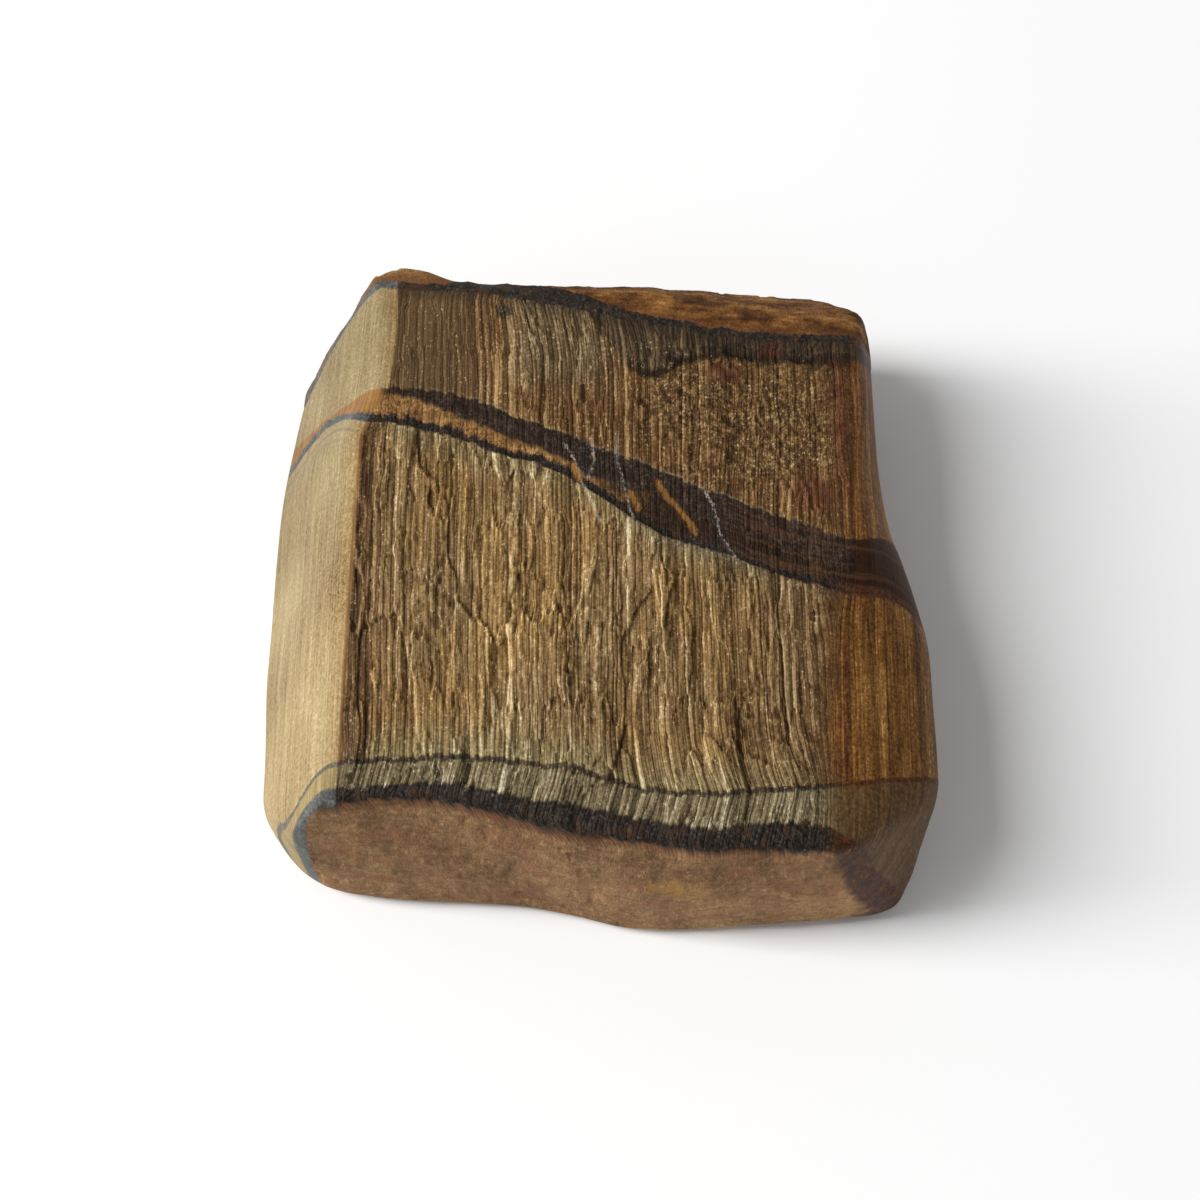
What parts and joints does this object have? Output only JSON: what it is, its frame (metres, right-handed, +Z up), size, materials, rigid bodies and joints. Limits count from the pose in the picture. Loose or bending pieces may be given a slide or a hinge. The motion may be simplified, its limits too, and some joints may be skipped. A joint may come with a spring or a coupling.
{
  "type": "rough stone",
  "caption": "Rough chunk of tiger's eye: fibrous golden-brown quartz layers crossed by dark iron bands, with ironstone left at both ends and a flat underside.",
  "frame": {"origin": "middle of the stone's footprint, on the surface it rests on", "axes": "+Z up; +X across the fibres, from the sawn side to the worn side; +Y along the fibres, away from the larger ironstone end"},
  "size_m": [0.0594, 0.0576, 0.0223],
  "materials": {
    "stone": "rough broken stone with a faint silky sheen on the fibres"
  },
  "bodies": {
    "root": {"tigers_eye": "stone"}
  },
  "joints": []
}
